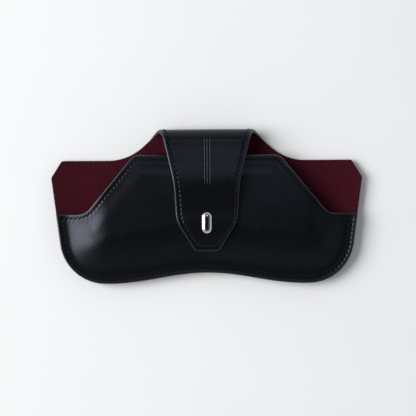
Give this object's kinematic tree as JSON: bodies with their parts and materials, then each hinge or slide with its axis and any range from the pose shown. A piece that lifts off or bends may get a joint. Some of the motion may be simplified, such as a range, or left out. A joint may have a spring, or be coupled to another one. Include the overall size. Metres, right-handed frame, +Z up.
{
  "type": "soft pouch glasses case",
  "caption": "Slim leather slip case for folded glasses: stitched pouch with side wings, suede lining and a tongue-shaped flap that folds over the front.",
  "frame": {"origin": "middle of the case's footprint, on the table under its back", "axes": "+X along the length of the case, +Y towards the fold of the flap, +Z up out of the front panel"},
  "size_m": [0.1658, 0.082, 0.0153],
  "materials": {
    "black_leather": "smooth full grain, satin",
    "wine_suede": "napped suede, matt",
    "board": "pressed fibre board, matt",
    "waxed_thread": "waxed polyester thread",
    "polished_metal": "polished, plated",
    "steel": "plain sheet"
  },
  "bodies": {
    "pouch": {"back_leather": "black_leather", "back_board": "board", "back_lining": "wine_suede", "front_leather": "black_leather", "front_board": "board", "front_lining": "wine_suede", "keeper_disc": "steel", "seam_thread": "waxed_thread", "wing_thread": "waxed_thread", "mouth_thread": "waxed_thread", "fold_leather": "black_leather", "fold_lining": "wine_suede", "fold_thread": "waxed_thread"},
    "flap": {"flap_leather": "black_leather", "flap_lining": "wine_suede", "flap_thread": "waxed_thread", "magnet_disc": "steel", "stud": "polished_metal", "stud_backplate": "steel"}
  },
  "joints": [
    {"name": "flap_fold", "type": "hinge", "parent": "pouch", "child": "flap", "pos_m": [0, 0.0412, 0.00695], "axis": [-1, 0, 0], "range_deg": [0, 176], "deforming": ["fold_leather", "fold_lining", "fold_thread"]}
  ]
}
